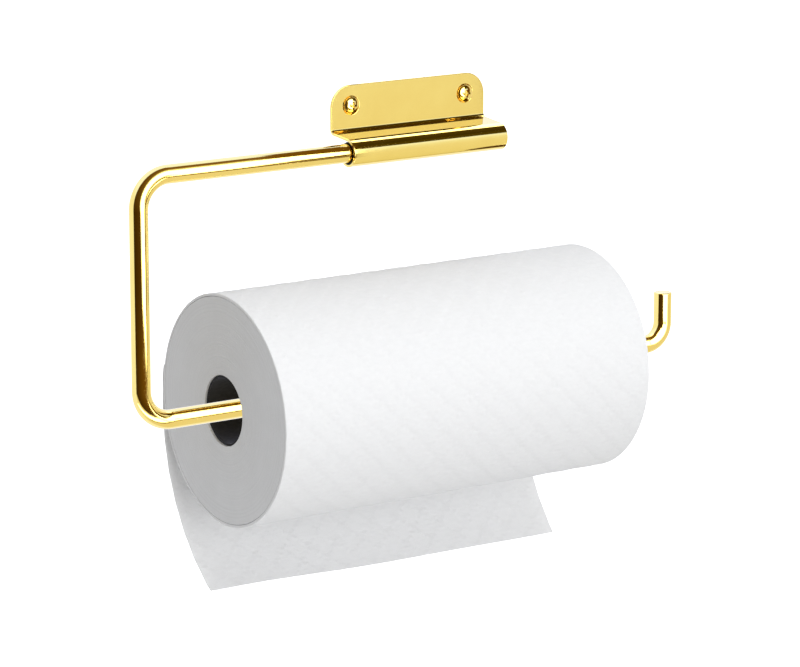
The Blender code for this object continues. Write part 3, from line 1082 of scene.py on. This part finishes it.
def stripes(finish):
    """The bands of light and dark along the arm."""
    path = arm_path()
    starts = [run[0] for run in path.runs] + [path.length]
    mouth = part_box("retaining_washer")[0].x - GAP - BRACKET_LOW.x
    top, leg, bottom, lower, tip_bend, tip = starts[1:7]
    face = lower + LOWER_ROD
    fade = bottom - LEG_FADE
    leg_end = bottom - LEG_END
    low_bend = (bottom + lower) / 2
    stripe(
        "dark_stripe",
        ARM_REACH,
        [
            (mouth, 0.43, 0.65, BROWN_LIGHT, BROWN),
            (top, 0.42, 0.65, BROWN_LIGHT, BROWN),
            (leg, -0.17, 0.50, DARK_BROWN, DARK),
            (fade, -0.20, 0.52, DARK_BROWN, DARK),
            (leg_end, -0.50, 0.52, BROWN, DARK),
            (bottom, -0.62, 0.50, BROWN, DARK),
            (low_bend, -0.60, 0.0, BROWN, DARK),
            (lower, -0.70, -0.42, BROWN, BROWN),
            (face, -0.70, -0.42, BROWN, BROWN),
        ],
        finish,
    )
    stripe(
        "highlight",
        ARM_REACH,
        [
            (mouth, -0.11, 0.30, WHITE, WHITE),
            (top, -0.11, 0.30, WHITE, WHITE),
            (leg, -0.57, -0.24, WHITE, WHITE),
            (fade, -0.57, -0.27, WHITE, WHITE),
            (leg_end, -0.60, -0.56, WHITE, WHITE),
        ],
        finish,
    )
    stripe(
        "thin_line",
        LINE_REACH,
        [
            (mouth, -0.35, -0.24, LINE, LINE),
            (top, -0.35, -0.24, LINE, LINE),
            (leg, -0.68, -0.62, LINE, LINE),
        ],
        finish,
    )
    stripe(
        "lower_highlight",
        ARM_REACH,
        [
            (bottom + 0.004, 0.53, 0.57, WHITE, WHITE),
            (low_bend, 0.10, 0.40, WHITE, WHITE),
            (lower, -0.30, 0.12, WHITE, WHITE),
            (face, -0.30, 0.12, WHITE, WHITE),
        ],
        finish,
    )
    stripe(
        "lower_line",
        LINE_REACH,
        [
            (low_bend, 0.44, 0.50, LINE, LINE),
            (lower, 0.20, 0.29, LINE, LINE),
            (face, 0.20, 0.29, LINE, LINE),
        ],
        finish,
    )
    stripe(
        "tip_dark",
        TIP_REACH,
        [
            (tip_bend - TIP_LEAD, -0.57, -0.42, BROWN, BROWN_LIGHT),
            (tip_bend, -0.57, -0.42, BROWN, BROWN_LIGHT),
            (tip, -0.42, 0.08, DARK, DARK_BROWN),
            (path.length, -0.42, 0.08, DARK, DARK_BROWN),
        ],
        finish,
    )
    stripe(
        "tip_highlight",
        TIP_REACH,
        [
            (tip_bend - TIP_LEAD, -0.32, 0.16, WHITE, WHITE),
            (tip_bend, -0.32, 0.16, WHITE, WHITE),
            (tip, 0.12, 0.46, WHITE, WHITE),
            (path.length, 0.12, 0.46, WHITE, WHITE),
        ],
        finish,
    )


def bracket_card(finish):
    """A card bent round the barrel's axis, from below to above it, for the bracket to mirror."""
    first, last = BRACKET_LIGHTS[0][0], BRACKET_LIGHTS[-1][0]
    rows, lights = [], []
    for angle in np.arange(first, last, BRACKET_CARD_STEP):
        y = BARREL_AXIS.y - BRACKET_REACH * math.cos(math.radians(angle))
        z = BARREL_AXIS.z + BRACKET_REACH * math.sin(math.radians(angle))
        rows.append([(x, y, z) for x in BRACKET_CARD])
        lights.append([light_at(angle, BRACKET_LIGHTS)] * 2)
    card("bracket_card", rows, np.array(lights), finish)


def left_shade():
    """A dark card left of the bracket, seen only from the right: the dark crescents of the screws."""
    x = BRACKET_LOW.x - SHADE_GAP
    rows = [[(x, y, z) for y in (-SHADE_FROM_WALL, 0)] for z in SHADE_HEIGHTS]
    lights = [[SHADE_LOW] * 2, [SHADE_HIGH] * 2]
    card("left_shade", rows, np.array(lights), glow(one_sided=True))


def world():
    """White to the eye and soft grey as light on paper. Polished metal mirrors white, a dark left side
    and a bright backdrop."""
    made = bpy.data.worlds.new("studio")
    bpy.context.scene.world = made
    made.use_nodes = True
    made.node_tree.nodes.clear()
    nodes = Nodes(made.node_tree)
    ray = nodes.node("ShaderNodeLightPath").outputs
    direction = nodes.node("ShaderNodeTexCoord").outputs["Generated"]
    parts = nodes.node("ShaderNodeSeparateXYZ", {"Vector": direction}).outputs
    left = nodes.between(parts["X"], -0.70, -0.80, 0, 1)
    high = nodes.between(parts["Z"], -0.30, -0.20, 0, 1)
    front = nodes.mixed(nodes.maths("MULTIPLY", left, high), (1, 1, 1), DARK_BROWN)
    behind = nodes.mixed(nodes.between(parts["Z"], 0.3, 0.6, 0, 1), BACKDROP, BACKDROP_HIGH)
    mirrored = nodes.mixed(nodes.between(parts["Y"], -0.02, 0.08, 0, 1), front, behind)
    ambient = nodes.between(parts["Z"], -0.3, 0.3, FROM_BELOW, FROM_ABOVE)
    ambient = nodes.maths("MULTIPLY", ambient, nodes.between(parts["Y"], 0, -1, 1, FROM_FRONT))
    ambient = nodes.maths("MULTIPLY", ambient, nodes.between(parts["X"], 0, -1, 1, FROM_LEFT))
    ambient = nodes.node("ShaderNodeCombineColor", dict.fromkeys(("Red", "Green", "Blue"), ambient))
    direct = nodes.maths("LESS_THAN", ray["Diffuse Depth"], 0.5)
    on_metal = nodes.maths("MULTIPLY", ray["Is Glossy Ray"], direct)
    lit = nodes.mixed(on_metal, ambient.outputs["Color"], mirrored)
    seen = nodes.mixed(ray["Is Camera Ray"], lit, (PALE,) * 3)
    background = nodes.node("ShaderNodeBackground", {"Color": seen})
    nodes.node("ShaderNodeOutputWorld", {"Surface": background.outputs[0]})


def softbox(name, direction, power):
    """A large soft light aimed at the roll. Polished metal doesn't mirror it."""
    data = bpy.data.lights.new(name, "AREA")
    data.shape = "DISK"
    data.size = SOFTBOX_SIZE
    data.energy = power
    data.color = SOFTBOX_COLOUR
    made = bpy.data.objects.new(name, data)
    bpy.context.scene.collection.objects.link(made)
    away = Vector(direction).normalized()
    made.location = Vector((ROLL_MIDDLE, ROLL_AXIS.y, ROLL_AXIS.z)) + away * SOFTBOX_REACH
    made.rotation_euler = away.to_track_quat("Z", "Y").to_euler()
    made.visible_camera = False
    made.visible_glossy = False


def floor():
    """A plain white floor, well below the part."""
    mesh = bpy.data.meshes.new("floor")
    height = cad_box[0].z - FLOOR_DROP
    corners = [(x * FLOOR_HALF, y * FLOOR_HALF, height) for x, y in ((-1, -1), (1, -1), (1, 1), (-1, 1))]
    mesh.from_pydata(corners, [], [(0, 1, 2, 3)])
    pale = Finish("pale_floor", Roughness=0.9, Emission_Color=(1, 1, 1, 1), Emission_Strength=1.0)
    clouds = pale.noise(0.15, detail=2)
    pale.drive("Base Color", pale.ramp(clouds, 0.3, 0.7, (0.88, 0.88, 0.88), (0.90, 0.90, 0.90)))
    mesh.materials.append(pale.material)
    made = bpy.data.objects.new("floor", mesh)
    bpy.context.scene.collection.objects.link(made)
    made.visible_glossy = False
    made.visible_diffuse = False


def camera_look():
    """The direction that the camera looks in."""
    level = math.cos(CAMERA_DROP)
    across, ahead = math.sin(CAMERA_AZIMUTH), math.cos(CAMERA_AZIMUTH)
    return Vector((across * level, ahead * level, -math.sin(CAMERA_DROP)))


def camera():
    data = bpy.data.cameras.new("camera")
    data.sensor_width = SENSOR
    data.lens = CAMERA_LENS
    data.clip_start, data.clip_end = 0.05, 100
    made = bpy.data.objects.new("camera", data)
    bpy.context.scene.collection.objects.link(made)
    look = camera_look()
    made.location = CAMERA_AIM - look * CAMERA_REACH
    made.rotation_euler = look.to_track_quat("-Z", "Y").to_euler()
    bpy.context.scene.camera = made


def studio():
    bpy.context.scene.view_settings.view_transform = "Standard"
    camera()
    world()
    finish = glow()
    stripes(finish)
    bracket_card(finish)
    left_shade()
    floor()
    for name, (direction, power) in SOFTBOXES.items():
        softbox(name, direction, power)


def main():
    gold = polished_gold()
    nylon = black_nylon()
    steel = zinc_steel()
    paper = towel_paper()
    wall_bracket(gold)
    screws(gold, steel)
    sleeves(nylon, steel)
    end_plug(nylon)
    swing_arm(gold)
    outer_plies(paper)
    wound_plies(cut_paper())
    cardboard_core(core_cardboard())
    loose_sheet(paper)
    studio()


main()
